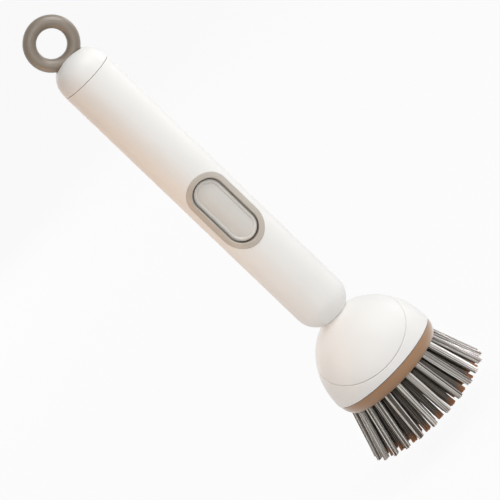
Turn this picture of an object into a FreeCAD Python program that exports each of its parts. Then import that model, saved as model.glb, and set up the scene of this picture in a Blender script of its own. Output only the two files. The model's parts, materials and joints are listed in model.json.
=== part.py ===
import FreeCAD, Part
import math
import os

# Soap dispensing dish wand in millimetres. +Z runs up along the handle, the wand stands on its
# bristle tips at z = 0, its axis is the Z axis and the thumb button faces -Y.

V = FreeCAD.Vector

# Clearances, per side
FIT = 0.05
RUN = 0.06
STOP_GAP = 0.1
SLIDE_GAP = 0.3
OVERRUN = 1.0

# Conic weight of a true ellipse, for domes turned from a quarter outline
ELLIPSE_SHARE = math.sqrt(0.5)

# Bristles: rings of tufts from the outside inwards, flares in degrees
BRISTLE_HEIGHT = 26.2
TUFT_RADIUS = 1.45
TUFT_TIP_RADIUS = 1.85
TUFT_DEPTH = 3.4
TUFT_EDGE = 1.75
RING_STEP = 3.9
RING_NAMES = ("outer_tufts", "second_tufts", "third_tufts", "fourth_tufts", "inner_tufts")
RING_COUNTS = (24, 24, 20, 16, 12)
RING_FLARES = (19.5, 22.5, 19.5, 15.5, 10.5)
RING_SHIFT_SHARES = (0.5, 0.0, 0.5, 0.0, 0.5)
ANCHOR_HEIGHT = 1.0
ANCHOR_THICKNESS = 0.45
ANCHOR_WIDTH_SHARE = 1.4

# Brush plate that carries the tufts
PLATE_BAND = 7.0
PLATE_STEP = 0.4
PLATE_TAPER = 2.35
PLATE_BULGE = 0.5
PLATE_EDGE = 0.7
DECK = 5.4
SPIGOT_HEIGHT = 2.2
SPIGOT_WALL = 3.0
SOCKET_STEP = 0.3
SOCKET_ROOM = 0.4
PLATE_GASKET = 0.35
GASKET_INSET = 0.5

# Soap nozzle in the middle of the brush plate
NOZZLE_RADIUS = 4.0
NOZZLE_FLANGE = 6.0
NOZZLE_FLANGE_HEIGHT = 1.2
NOZZLE_DROP = 2.4
NOZZLE_WALL = 1.4
NOZZLE_SLIT = 0.3

# Dome of the head and the tilted seam that it swivels on, tilt in degrees
DOME_RADIUS = 31.8
DOME_HEIGHT = 36.0
DOME_WALL = 2.2
SEAM_TILT = 29.0
SEAM_RISE = 21.86
SEAM_GAP = 0.3
SEAM_EDGE = 0.25

# Swivel: plate screwed into the upper dome, hollow pivot, stop pin, washer and clip
HEAD_DISC = 2.8
PIVOT_PLATE = 3.0
PIVOT_RADIUS = 4.5
PIVOT_BORE = 2.0
PIVOT_TAIL = 1.0
PIVOT_SEAL_WIRE = 0.4
WASHER = 0.7
WASHER_RADIUS = 7.6
CLIP = 0.8
CLIP_RADIUS = 6.8
CLIP_GROOVE = 0.8
CLIP_OPENING = 60.0
STOP_PIN_RADIUS = 1.0
STOP_PIN_DROP = 1.5
STOP_CIRCLE = 10.5
STOP_ROOM = 0.2
DOME_GASKET = 1.2
DOME_GASKET_WIDTH = 2.4
BOSS_RADIUS = 3.0
BOSS_ANGLES = (-90.0, 30.0, 150.0)
SCREW_RADIUS = 1.1
SCREW_LENGTH = 5.2
SCREW_HEAD = 2.2
SCREW_HEAD_HEIGHT = 1.3
SCREW_DRIVE = 0.5
SCREW_DRIVE_DEPTH = 0.7

# Handle and the neck that joins it to the dome
HANDLE_RADIUS = 14.6
HANDLE_LENGTH = 175.0
HANDLE_WALL = 2.2
HANDLE_END_FLAT = 2.2
HANDLE_FLOOR = 9.2
BORE_END_FLAT = 9.6
MOUTH_EDGE = 0.25
NECK_SINK = 2.4
NECK_SPIGOT = 5.5
NECK_GASKET = 0.8
NECK_NUT = 3.0
NECK_NUT_RADIUS = 8.6
NECK_NUT_SLOT = 2.0
NECK_TAIL = 0.6

# Soap tube and the nipples that it slips over
NIPPLE_RADIUS = 2.0
NIPPLE_LENGTH = 8.0
NIPPLE_BORE = 1.1
TUBE_WALL = 1.1
TUBE_RUN_SHARE = 1.0 / 3.0

# Button bezel, inlaid round the window in the handle
BUTTON_DROP = 94.45
BEZEL_LENGTH = 45.8
BEZEL_MARGIN = 3.05
BEZEL_BAND = 3.0
BEZEL_SINK = 1.3
BEZEL_PROUD = 0.35
BEZEL_EDGE = 0.5
SLEEVE_WALL = 0.9
SLEEVE_DEPTH = 7.0

# Thumb button
BUTTON_GAP = 0.8
BUTTON_SINK = 1.7
BUTTON_TRAVEL = 2.5
BUTTON_RIM = 1.9
BUTTON_DISH = 0.9
BUTTON_EDGE = 0.8
BUTTON_WALL = 1.6
BUTTON_FLANGE = 1.0
BUTTON_LIP = 0.7
BUTTON_BOSS_WALL = 1.4
BUTTON_POCKET = 2.4

# Pump under the button
WELL_WALL = 1.4
WELL_FLOOR = 1.4
WELL_GASKET = 0.5
PUMP_BORE = 6.0
PUMP_WALL = 1.3
PUMP_FLOOR = 1.4
PISTON_INSET = 0.9
PISTON_THICKNESS = 2.3
PISTON_ROD = 2.2
PISTON_SEAL_WIRE = 0.5
SPRING_LENGTH = 5.4
SPRING_RADIUS = 3.6
SPRING_WIRE = 0.3
SPRING_TURNS = 4.0
STEPS_PER_TURN = 4

# Valves under the pump
VALVE_SPACING = 7.2
VALVE_BOSS = 3.3
VALVE_REACH = 8.7
VALVE_ROOF = 0.5
VALVE_ROOM = 2.3
PORT_RADIUS = 0.9
PORT_INSET = 1.7
VALVE_FLANGE = 0.8
SEAT_HEIGHT = 1.8
SEAT_BORE = 1.2
BALL_RADIUS = 1.75
BILL_FLANGE = 0.9
BILL_RADIUS = 1.7
BILL_LENGTH = 3.0
BILL_TIP = 0.7
BILL_SLIT = 0.2
BARB_PLUG = 2.0
BARB_RISE = 0.25
BARB_PITCH = 2.4

# Screw cap with its hanging loop
CAP_HEIGHT = 14.2
CAP_FULL_SHARE = 0.95
CAP_GAP = 0.25
CAP_ROOF = 6.6
CAP_SKIRT = 4.2
CAP_HOLLOW = 9.6
PLUG_GAP = 0.3
PLUG_DEPTH = 10.5
PLUG_WALL = 2.0
THREAD_WIRE = 0.7
THREAD_GAP = 0.2
THREAD_LEAD = 6.0
THREAD_STARTS = 2
THREAD_TURNS = 0.55
THREAD_DROP = 8.0
THREAD_EASE = 8.0
CAP_SEAL_WIRE = 0.55
CAP_SEAL_DEPTH = 1.4
LOOP_RADIUS = 10.95
LOOP_TUBE = 3.5
LOOP_SINK = 4.55
LOOP_LAND = 2.0
LOOP_STEM_WIDTH = 8.0
LOOP_STEM_THICKNESS = 4.6
LOOP_FOOT_WIDTH = 13.0
LOOP_FOOT = 2.2
LOOP_GAP = 0.12
LOOP_POCKET_GAP = 0.5

# Levels along the wand
rim_z = BRISTLE_HEIGHT + PLATE_BAND
dome_top_z = rim_z + DOME_HEIGHT
handle_z = dome_top_z - NECK_SINK
floor_z = handle_z + HANDLE_FLOOR
mouth_z = handle_z + HANDLE_LENGTH
button_z = mouth_z - BUTTON_DROP
cap_top_z = mouth_z + CAP_HEIGHT
loop_z = cap_top_z - LOOP_SINK + LOOP_TUBE + LOOP_RADIUS
neck_top_z = floor_z + NECK_GASKET + NECK_NUT + NECK_TAIL

# Radii about the wand's axis
bore_radius = HANDLE_RADIUS - HANDLE_WALL
plug_radius = bore_radius - PLUG_GAP
bezel_seat_radius = HANDLE_RADIUS - BEZEL_SINK
bezel_face_radius = HANDLE_RADIUS + BEZEL_PROUD
button_radius = HANDLE_RADIUS - BUTTON_SINK
pump_limit_radius = bore_radius - WELL_GASKET
socket_radius = DOME_RADIUS - DOME_WALL - SOCKET_STEP
spigot_radius = socket_radius - SLIDE_GAP / 2
plate_radius = DOME_RADIUS - PLATE_STEP
foot_radius = plate_radius - PLATE_TAPER
ring_radii = [foot_radius - TUFT_EDGE - RING_STEP * n for n in range(len(RING_COUNTS))]
RINGS = list(zip(ring_radii, RING_FLARES, RING_COUNTS, RING_SHIFT_SHARES))

# Widths and lengths of the button's window, from the bezel inwards
bezel_width = 2 * (HANDLE_RADIUS - BEZEL_MARGIN)
opening_width = bezel_width - 2 * BEZEL_BAND
opening_length = BEZEL_LENGTH - 2 * BEZEL_BAND
sleeve_width = opening_width + 2 * SLEEVE_WALL
sleeve_length = opening_length + 2 * SLEEVE_WALL
well_width = sleeve_width + 2 * SLIDE_GAP
well_length = sleeve_length + 2 * SLIDE_GAP
button_width = opening_width - 2 * BUTTON_GAP
button_length = opening_length - 2 * BUTTON_GAP

# Depths of the button and pump along Y, from the front of the handle inwards
sleeve_y = SLEEVE_DEPTH - HANDLE_RADIUS
flange_y = sleeve_y + STOP_GAP
button_base_y = flange_y + BUTTON_FLANGE
well_y = button_base_y + BUTTON_TRAVEL + SLIDE_GAP
piston_y = well_y + PISTON_INSET
piston_face_y = piston_y + PISTON_THICKNESS
pump_floor_y = piston_face_y + SPRING_LENGTH
pump_back_y = pump_floor_y + PUMP_FLOOR
port_y = pump_floor_y - PORT_INSET
pocket_y = button_base_y - BUTTON_POCKET

# Levels of the two valves that hang under the pump
pump_radius = PUMP_BORE + PUMP_WALL
valve_roof_z = button_z - pump_radius - VALVE_ROOF
valve_base_z = button_z - pump_radius - VALVE_REACH
inlet_x = VALVE_SPACING / 2
outlet_x = -VALVE_SPACING / 2
tube_top_z = valve_base_z - VALVE_FLANGE - FIT
tube_base_z = neck_top_z + FIT

# Heights in the seam's own frame, where zero is the middle of the seam gap
seam_up = SEAM_GAP / 2
seam_down = -SEAM_GAP / 2
plate_top = seam_up + PIVOT_PLATE
disc_base = seam_down - HEAD_DISC
washer_base = disc_base - RUN - WASHER
clip_base = washer_base - FIT - CLIP
pivot_base = clip_base - PIVOT_TAIL
far = DOME_RADIUS + DOME_HEIGHT

# The seam's frame: its origin is the middle of the dome's tilted section, its Z axis leans to the button
seam_normal = V(0, -math.sin(math.radians(SEAM_TILT)), math.cos(math.radians(SEAM_TILT)))
seam_spread = V(0, seam_normal.y * DOME_RADIUS ** 2, seam_normal.z * DOME_HEIGHT ** 2)
seam_offset = SEAM_RISE * seam_normal.z / seam_normal.dot(seam_spread)
pivot_centre = V(0, 0, rim_z) + seam_spread * seam_offset
SEAM = FreeCAD.Placement(pivot_centre, FreeCAD.Rotation(V(1, 0, 0), SEAM_TILT))
PUMP = FreeCAD.Placement(V(0, 0, button_z), FreeCAD.Rotation(V(1, 0, 0), -90))


def hollow_reach(gap, height):
    """Least reach from the pivot's axis to the dome's hollow, less a gap, at a height above the seam."""
    radius = DOME_RADIUS - DOME_WALL - gap
    rise = DOME_HEIGHT - DOME_WALL - gap
    spread = V(0, seam_normal.y * radius ** 2, seam_normal.z * rise ** 2)
    square = seam_normal.dot(spread)
    level = SEAM_RISE * seam_normal.z + height
    middle = V(0, 0, rim_z) + spread * (level / square)
    shift = (middle - pivot_centre - seam_normal * height).Length
    half = radius * math.sqrt(1 - level ** 2 / square)
    return half * min(1, rise / math.sqrt(square)) - shift


# Circle of the bosses that take the pivot plate's screws, inside the dome gasket
boss_circle = hollow_reach(DOME_GASKET_WIDTH, plate_top + DOME_GASKET) - BOSS_RADIUS - SLIDE_GAP


def on_seam(shape):
    """Moves a shape from the seam's own frame to the wand's."""
    return shape.transformed(SEAM.toMatrix())


def on_pump(shape):
    """Turns a shape made about Z so that it lies about the pump's axis, along +Y."""
    return shape.transformed(PUMP.toMatrix())


def line(start, end):
    return Part.LineSegment(start, end).toShape()


def polar(radius, angle, height):
    """Point at an angle in degrees about the Z axis."""
    turn = math.radians(angle)
    return V(radius * math.cos(turn), radius * math.sin(turn), height)


def rod(radius, start, end):
    """Cylinder between two points."""
    span = end - start
    return Part.makeCylinder(radius, span.Length, start, span)


def upright(radius, low, high, x=0, y=0):
    """Cylinder along Z between two levels."""
    return rod(radius, V(x, y, low), V(x, y, high))


def ring(outer, inner, low, high):
    """Plain washer about the Z axis."""
    return upright(outer, low, high).cut(upright(inner, low - OVERRUN, high + OVERRUN))


def fuse_all(shapes):
    """One clean solid out of shapes that meet."""
    whole = shapes[0]
    for shape in shapes[1:]:
        whole = whole.fuse(shape)
    return whole.removeSplitter()


def cut_all(body, cutters):
    for cutter in cutters:
        body = body.cut(cutter)
    return body


def spin(edges):
    """Solid of revolution about the Z axis from a closed outline in the XZ plane."""
    solid = Part.Face(Part.Wire(edges)).revolve(V(0, 0, 0), V(0, 0, 1), 360)
    if solid.Volume < 0:
        solid.reverse()
    return solid


def turned(points):
    """Solid of revolution from (radius, level) corners."""
    corners = [V(radius, 0, level) for radius, level in points]
    return spin([line(a, b) for a, b in zip(corners, corners[1:] + corners[:1])])


def dome(radius, height, base, full_share=ELLIPSE_SHARE):
    """Dome of revolution standing on the level base."""
    foot = V(radius, 0, base)
    crown = V(0, 0, base + height)
    middle = V(0, 0, base)
    curve = Part.BSplineCurve()
    poles = [foot, V(radius, 0, base + height), crown]
    curve.buildFromPolesMultsKnots(poles, [3, 3], [0, 1], False, 2, [1, full_share, 1])
    return spin([line(middle, foot), curve.toShape(), line(crown, middle)])


def rounded_bar(radius, low, high, flat):
    """Bar about the Z axis with a rounded lower end that is flat inside the radius given."""
    bend = radius - flat
    reach = bend * math.sqrt(0.5)
    start = V(flat, 0, low)
    middle = V(flat + reach, 0, low + bend - reach)
    end = V(radius, 0, low + bend)
    top = V(radius, 0, high)
    edges = [
        line(V(0, 0, low), start),
        Part.Arc(start, middle, end).toShape(),
        line(end, top),
        line(top, V(0, 0, high)),
        line(V(0, 0, high), V(0, 0, low)),
    ]
    return spin(edges)


def stadium(width, length, front, back):
    """Prism along Y at the button's level, with straight sides and round ends."""
    half = width / 2
    low = button_z - (length - width) / 2
    high = button_z + (length - width) / 2
    edges = [
        line(V(-half, front, low), V(-half, front, high)),
        Part.Arc(V(-half, front, high), V(0, front, high + half), V(half, front, high)).toShape(),
        line(V(half, front, high), V(half, front, low)),
        Part.Arc(V(half, front, low), V(0, front, low - half), V(-half, front, low)).toShape(),
    ]
    return Part.Face(Part.Wire(edges)).extrude(V(0, back - front, 0))


def handle_bar(radius):
    """Cylinder of the handle's own axis that covers the button's stretch."""
    return upright(radius, button_z - BEZEL_LENGTH, button_z + BEZEL_LENGTH)


def seam_slab(low, high):
    """Wide slab between two heights above the seam."""
    return on_seam(Part.makeBox(2 * far, 2 * far, high - low, V(-far, -far, low)))


def inner_dome(gap):
    """The dome's hollow, smaller by a gap all over."""
    return dome(DOME_RADIUS - DOME_WALL - gap, DOME_HEIGHT - DOME_WALL - gap, rim_z)


def tangent_arc(start, corner, end):
    """Arc that leaves start towards corner and reaches end from it."""
    middle = (start + end) * 0.5
    half = (end - start).Length / 2
    lean = math.acos(min(1.0, half / (corner - start).Length))
    rise = (corner - middle).normalize() * (half * math.tan(lean / 2))
    return Part.Arc(start, middle + rise, end).toShape()


def coil_points(radius, lead, base, first, angle):
    """Place and heading on a helix about Z at an angle in radians from its first one."""
    turn = first + angle
    place = V(radius * math.cos(turn), radius * math.sin(turn), base + lead * angle / (2 * math.pi))
    heading = V(-radius * math.sin(turn), radius * math.cos(turn), lead / (2 * math.pi))
    return place, heading.normalize()


def coil(radius, wire, lead, base, first, turns):
    """Round wire wound about Z, as pairs of tangent arcs."""
    steps = math.ceil(turns * STEPS_PER_TURN)
    step = 2 * math.pi * turns / steps
    stops = [coil_points(radius, lead, base, first, step * n) for n in range(steps + 1)]
    edges = []
    for (a, out), (b, into) in zip(stops, stops[1:]):
        span = b - a
        along = span.dot(out + into)
        bend = 2 * (1 - out.dot(into))
        reach = (math.sqrt(along ** 2 + bend * span.dot(span)) - along) / bend
        join = (a + out * reach + b - into * reach) * 0.5
        edges.append(tangent_arc(a, a + out * reach, join))
        edges.append(tangent_arc(join, b - into * reach, b))
    section = Part.Wire(Part.makeCircle(wire, *stops[0]))
    return Part.Wire(edges).makePipeShell([section], True, False)


def edges_on(shape, test):
    """Edges whose middle point passes a test."""
    return [e for e in shape.Edges if test(e.valueAt((e.FirstParameter + e.LastParameter) / 2))]


def on_radius(radius):
    """Test for points at a radius from the wand's axis."""
    return lambda p: abs(math.hypot(p.x, p.y) - radius) < FIT / 10


def at_seam(height):
    """Test for points at a height above the seam."""
    return lambda p: abs(SEAM.inverse().multVec(p).z - height) < FIT / 10


def handle_shell():
    """Hollow handle: rounded lower end seated on the dome, window for the button, threaded mouth."""
    body = rounded_bar(HANDLE_RADIUS, handle_z, mouth_z, HANDLE_END_FLAT)
    rim = edges_on(body, lambda p: on_radius(HANDLE_RADIUS)(p) and abs(p.z - mouth_z) < FIT)
    body = body.makeFillet(MOUTH_EDGE, rim)
    seal_radius = plug_radius + 2 * CAP_SEAL_WIRE + 2 * FIT
    recess = stadium(bezel_width + 2 * FIT, BEZEL_LENGTH + 2 * FIT, -HANDLE_RADIUS - OVERRUN, 0)
    cutters = [
        rounded_bar(bore_radius, floor_z, mouth_z + OVERRUN, BORE_END_FLAT),
        dome(DOME_RADIUS, DOME_HEIGHT, rim_z),
        upright(NECK_SPIGOT + FIT, handle_z, floor_z + OVERRUN),
        upright(seal_radius, mouth_z - CAP_SEAL_DEPTH, mouth_z + OVERRUN),
        stadium(sleeve_width + 2 * FIT, sleeve_length + 2 * FIT, -HANDLE_RADIUS - OVERRUN, 0),
        recess.cut(handle_bar(bezel_seat_radius - FIT)),
    ]
    cutters += thread_wires(THREAD_WIRE + THREAD_GAP, THREAD_EASE, THREAD_DROP + OVERRUN)
    return cut_all(body, cutters)


def thread_wires(wire, ease, rise):
    """Cap thread: one wire per start, begun early by ease degrees and climbing by rise."""
    base = mouth_z - THREAD_DROP - THREAD_LEAD * ease / 360
    wires = []
    for n in range(THREAD_STARTS):
        first = 2 * math.pi * n / THREAD_STARTS - math.radians(ease)
        wires.append(coil(plug_radius, wire, THREAD_LEAD, base, first, rise / THREAD_LEAD))
    return wires


def neck_dome():
    """Upper part of the head: dome over the seam, spigot into the handle, bosses for the plate."""
    shell = dome(DOME_RADIUS, DOME_HEIGHT, rim_z).common(seam_slab(seam_up, far))
    shell = shell.makeFillet(SEAM_EDGE, edges_on(shell, at_seam(seam_up))).cut(inner_dome(0))
    bosses = []
    for angle in BOSS_ANGLES:
        foot = polar(boss_circle, angle, plate_top)
        boss = on_seam(rod(BOSS_RADIUS, foot, foot + V(0, 0, far)))
        bosses.append(boss.common(dome(DOME_RADIUS - DOME_WALL / 2, DOME_HEIGHT - DOME_WALL / 2, rim_z)))
    spigot = upright(NECK_SPIGOT, dome_top_z - DOME_WALL, neck_top_z)
    nipple = barbed_nipple(neck_top_z, 1)
    body = fuse_all([shell, spigot, nipple] + bosses)
    bore_low = dome_top_z - DOME_WALL - NECK_SINK
    cutters = [upright(NIPPLE_BORE, bore_low, neck_top_z + NIPPLE_LENGTH + OVERRUN)]
    for angle in BOSS_ANGLES:
        start = polar(boss_circle, angle, plate_top - OVERRUN)
        end = polar(boss_circle, angle, seam_up + SCREW_HEAD_HEIGHT + SCREW_LENGTH + FIT)
        cutters.append(on_seam(rod(SCREW_RADIUS + FIT / 2, start, end)))
    return cut_all(body, cutters)


def barbed_nipple(root, way, x=0, y=0):
    """Hose nipple on the Z axis or beside it, growing up or down from its root, with two barbs."""
    parts = [upright(NIPPLE_RADIUS - BARB_RISE, root, root + way * NIPPLE_LENGTH, x, y)]
    for n in range(2):
        wide = V(x, y, root + way * (NIPPLE_LENGTH - BARB_PITCH * (n + 1)))
        barb = Part.makeCone(NIPPLE_RADIUS, NIPPLE_RADIUS - BARB_RISE, BARB_PITCH, wide, V(0, 0, way))
        parts.append(barb)
    return fuse_all(parts)


def neck_gasket():
    return ring(NECK_NUT_RADIUS, NECK_SPIGOT + FIT, floor_z, floor_z + NECK_GASKET)


def neck_nut():
    """Round nut that clamps the dome to the handle, with two spanner slots."""
    low = floor_z + NECK_GASKET
    nut = ring(NECK_NUT_RADIUS, NECK_SPIGOT + FIT, low, low + NECK_NUT)
    corner = V(-NECK_NUT_RADIUS, -NECK_NUT_SLOT / 2, low + NECK_NUT / 2)
    return nut.cut(Part.makeBox(2 * NECK_NUT_RADIUS, NECK_NUT_SLOT, NECK_NUT, corner))


def button_bezel():
    """Trim ring that follows the handle's curve, with a sleeve through the window."""
    hole = stadium(opening_width, opening_length, -bezel_face_radius - OVERRUN, 0)
    band = stadium(bezel_width, BEZEL_LENGTH, -bezel_face_radius, 0)
    band = band.common(handle_bar(bezel_face_radius)).cut(handle_bar(bezel_seat_radius))
    sleeve = stadium(sleeve_width, sleeve_length, -bezel_face_radius, sleeve_y)
    sleeve = sleeve.common(handle_bar(bezel_face_radius))
    body = band.fuse(sleeve).removeSplitter().cut(hole)
    return body.makeFillet(BEZEL_EDGE, edges_on(body, on_radius(bezel_face_radius)))


def well_gasket():
    """Soft seal between the pump's well and the handle's inner wall."""
    body = stadium(well_width + 2 * WELL_WALL, well_length + 2 * WELL_WALL, -HANDLE_RADIUS, 0)
    body = body.cut(stadium(well_width, well_length, -HANDLE_RADIUS - OVERRUN, 0))
    return body.common(handle_bar(bore_radius - FIT)).cut(handle_bar(pump_limit_radius))


def pump_body():
    """Well behind the button, pump barrel in its floor and two valve housings under the barrel."""
    width = well_width + 2 * WELL_WALL
    length = well_length + 2 * WELL_WALL
    well = stadium(width, length, -HANDLE_RADIUS, well_y + WELL_FLOOR)
    well = well.cut(stadium(well_width, well_length, -HANDLE_RADIUS - OVERRUN, well_y))
    well = well.common(handle_bar(pump_limit_radius - FIT))
    barrel = on_pump(upright(pump_radius, well_y, pump_back_y))
    bosses = [upright(VALVE_BOSS, valve_base_z, button_z, x, port_y) for x in (inlet_x, outlet_x)]
    body = fuse_all([well, barrel] + bosses)
    cutters = [on_pump(upright(PUMP_BORE, well_y - OVERRUN, pump_floor_y))]
    for x in (inlet_x, outlet_x):
        cutters.append(upright(VALVE_ROOM, valve_base_z - OVERRUN, valve_roof_z, x, port_y))
        cutters.append(upright(PORT_RADIUS, valve_roof_z - OVERRUN, button_z - PUMP_BORE / 2, x, port_y))
    return cut_all(body, cutters)


def inlet_seat():
    """Pressed-in seat of the inlet valve."""
    low = valve_base_z - VALVE_FLANGE
    high = valve_base_z + SEAT_HEIGHT
    plug = upright(VALVE_ROOM - FIT, low, high, inlet_x, port_y)
    flange = upright(VALVE_BOSS, low, valve_base_z, inlet_x, port_y)
    hole = upright(SEAT_BORE, low - OVERRUN, high + OVERRUN, inlet_x, port_y)
    return fuse_all([plug, flange]).cut(hole)


def inlet_ball():
    rise = math.sqrt(BALL_RADIUS ** 2 - SEAT_BORE ** 2)
    return Part.makeSphere(BALL_RADIUS, V(inlet_x, port_y, valve_base_z + SEAT_HEIGHT + rise + FIT))


def outlet_valve():
    """Soft duckbill: a flange, then a tube that narrows to a slit tip."""
    top = valve_roof_z
    neck = top - BILL_FLANGE
    tip = neck - BILL_LENGTH
    flange = upright(VALVE_ROOM - FIT, neck, top, outlet_x, port_y)
    tube = upright(BILL_RADIUS, tip, neck + FIT, outlet_x, port_y)
    corners = [
        V(outlet_x - BILL_RADIUS, port_y - BILL_TIP, tip),
        V(outlet_x - BILL_RADIUS, port_y + BILL_TIP, tip),
        V(outlet_x - BILL_RADIUS, port_y + BILL_RADIUS, neck),
        V(outlet_x - BILL_RADIUS, port_y + BILL_RADIUS, top),
        V(outlet_x - BILL_RADIUS, port_y - BILL_RADIUS, top),
        V(outlet_x - BILL_RADIUS, port_y - BILL_RADIUS, neck),
    ]
    wedge = Part.Face(Part.makePolygon(corners + corners[:1])).extrude(V(2 * BILL_RADIUS, 0, 0))
    bore = upright(PORT_RADIUS, tip + BILL_TIP, top + OVERRUN, outlet_x, port_y)
    corner = V(outlet_x - PORT_RADIUS, port_y - BILL_SLIT / 2, tip - OVERRUN)
    slit = Part.makeBox(2 * PORT_RADIUS, BILL_SLIT, BILL_LENGTH, corner)
    return fuse_all([flange, tube.common(wedge)]).cut(bore).cut(slit)


def outlet_barb():
    """Fitting that closes the outlet valve's housing and carries the soap tube."""
    low = valve_base_z - VALVE_FLANGE
    plug = upright(VALVE_ROOM - FIT, low, valve_base_z + BARB_PLUG, outlet_x, port_y)
    flange = upright(VALVE_BOSS, low, valve_base_z, outlet_x, port_y)
    body = fuse_all([plug, flange, barbed_nipple(low, -1, outlet_x, port_y)])
    end = low - NIPPLE_LENGTH - OVERRUN
    return body.cut(upright(NIPPLE_BORE, end, valve_base_z + BARB_PLUG + OVERRUN, outlet_x, port_y))


def soap_tube():
    """Flexible tube from the pump's outlet down to the neck, in three runs joined by wide arcs."""
    run = (tube_top_z - tube_base_z) * TUBE_RUN_SHARE
    route = [
        V(outlet_x, port_y, tube_top_z),
        V(outlet_x, port_y, tube_top_z - run),
        V(0, 0, tube_base_z + run),
        V(0, 0, tube_base_z),
    ]
    path = Part.Wire(rounded_route(route))
    tubes = []
    for radius in (NIPPLE_RADIUS + FIT + TUBE_WALL, NIPPLE_RADIUS + FIT):
        section = Part.Wire(Part.makeCircle(radius, route[0], V(0, 0, 1)))
        tubes.append(path.makePipeShell([section], True, False))
    return tubes[0].cut(tubes[1])


def rounded_route(route):
    """Straight runs joined by tangent arcs as large as the runs allow."""
    arc_share = 0.45
    edges = []
    start = route[0]
    for before, corner, after in zip(route, route[1:], route[2:]):
        reach = arc_share * min((corner - before).Length, (after - corner).Length)
        entry = corner + (before - corner).normalize() * reach
        leave = corner + (after - corner).normalize() * reach
        edges += [line(start, entry), tangent_arc(entry, corner, leave)]
        print("soap tube arc radius", round(edges[-1].Curve.Radius, 1))
        start = leave
    return edges + [line(start, route[-1])]


def thumb_button():
    """Dished button with a raised rim, a flange that keeps it in and a boss for the piston."""
    front = -HANDLE_RADIUS
    body = stadium(button_width, button_length, front, button_base_y)
    body = body.common(handle_bar(button_radius))
    dish = stadium(button_width - 2 * BUTTON_RIM, button_length - 2 * BUTTON_RIM, front, 0)
    body = body.cut(dish.cut(handle_bar(button_radius - BUTTON_DISH)))
    body = body.makeFillet(BUTTON_EDGE, edges_on(body, on_radius(button_radius)))
    lip = 2 * BUTTON_LIP
    wall = 2 * BUTTON_WALL
    flange = stadium(opening_width + lip, opening_length + lip, flange_y, button_base_y)
    pocket = stadium(button_width - wall, button_length - wall, pocket_y, button_base_y)
    boss = on_pump(upright(PISTON_ROD + BUTTON_BOSS_WALL, pocket_y - FIT, button_base_y))
    body = fuse_all([body.fuse(flange).cut(pocket), boss])
    return body.cut(on_pump(upright(PISTON_ROD + FIT, pocket_y, button_base_y + OVERRUN)))


def pump_piston():
    """Rod pressed into the button and a grooved piston head."""
    groove = 2 * PISTON_SEAL_WIRE + 2 * FIT
    low = piston_y + (PISTON_THICKNESS - groove) / 2
    edge = PUMP_BORE - RUN
    root = edge - groove
    outline = [
        (0, pocket_y + FIT),
        (PISTON_ROD, pocket_y + FIT),
        (PISTON_ROD, piston_y),
        (edge, piston_y),
        (edge, low),
        (root, low),
        (root, low + groove),
        (edge, low + groove),
        (edge, piston_face_y),
        (0, piston_face_y),
    ]
    return on_pump(turned(outline))


def piston_o_ring():
    middle = V(0, 0, piston_y + PISTON_THICKNESS / 2)
    radius = PUMP_BORE - RUN - PISTON_SEAL_WIRE
    return on_pump(Part.makeTorus(radius, PISTON_SEAL_WIRE, middle))


def return_spring():
    """Coil spring between the piston's face and the barrel's floor."""
    margin = SPRING_WIRE + FIT
    lead = (SPRING_LENGTH - 2 * margin) / SPRING_TURNS
    print("return spring least gap to itself", round(lead - 2 * SPRING_WIRE, 2))
    return on_pump(coil(SPRING_RADIUS, SPRING_WIRE, lead, piston_face_y + margin, 0, SPRING_TURNS))


def pivot_plate():
    """Plate across the upper dome with the hollow pivot that the head turns on."""
    plate = seam_slab(seam_up, plate_top).common(inner_dome(FIT))
    pivot = upright(PIVOT_RADIUS, pivot_base, plate_top)
    groove_root = PIVOT_RADIUS - CLIP_GROOVE
    seal_root = PIVOT_RADIUS - 2 * PIVOT_SEAL_WIRE
    seal_low = (seam_down + disc_base) / 2 - PIVOT_SEAL_WIRE - FIT
    seal_high = seal_low + 2 * (PIVOT_SEAL_WIRE + FIT)
    pivot = pivot.cut(ring(far, groove_root, clip_base - FIT, clip_base + CLIP + FIT))
    pivot = pivot.cut(ring(far, seal_root, seal_low, seal_high))
    body = fuse_all([plate, on_seam(pivot)])
    cutters = [on_seam(upright(PIVOT_BORE, pivot_base - OVERRUN, plate_top + OVERRUN))]
    for angle in BOSS_ANGLES:
        low = polar(boss_circle, angle, seam_up - OVERRUN)
        shoulder = polar(boss_circle, angle, seam_up + SCREW_HEAD_HEIGHT)
        high = polar(boss_circle, angle, plate_top + OVERRUN)
        cutters.append(on_seam(rod(SCREW_HEAD + STOP_GAP, low, shoulder)))
        cutters.append(on_seam(rod(SCREW_RADIUS + STOP_GAP, low, high)))
    cutters.append(on_seam(upright(STOP_PIN_RADIUS, seam_up - OVERRUN, plate_top + OVERRUN, STOP_CIRCLE)))
    return cut_all(body, cutters)


def pivot_screws():
    """Pan head screws that hold the pivot plate, driven from below."""
    low = seam_up + FIT
    head = upright(SCREW_HEAD, low, seam_up + SCREW_HEAD_HEIGHT)
    shank = upright(SCREW_RADIUS, low, seam_up + SCREW_HEAD_HEIGHT + SCREW_LENGTH)
    corner = V(-SCREW_HEAD, -SCREW_DRIVE / 2, low)
    slot = Part.makeBox(2 * SCREW_HEAD, SCREW_DRIVE, SCREW_DRIVE_DEPTH, corner)
    screw = fuse_all([head, shank]).cut(slot)
    screws = []
    for angle in BOSS_ANGLES:
        copy = screw.copy()
        copy.translate(polar(boss_circle, angle, 0))
        screws.append(on_seam(copy))
    return Part.makeCompound(screws)


def dome_gasket():
    """Soft ring that seals the pivot plate against the dome's wall."""
    high = plate_top + DOME_GASKET
    body = seam_slab(plate_top, high).common(inner_dome(FIT))
    return body.cut(inner_dome(DOME_GASKET_WIDTH))


def stop_pin():
    return on_seam(upright(STOP_PIN_RADIUS, seam_down - STOP_PIN_DROP, plate_top, STOP_CIRCLE))


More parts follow.
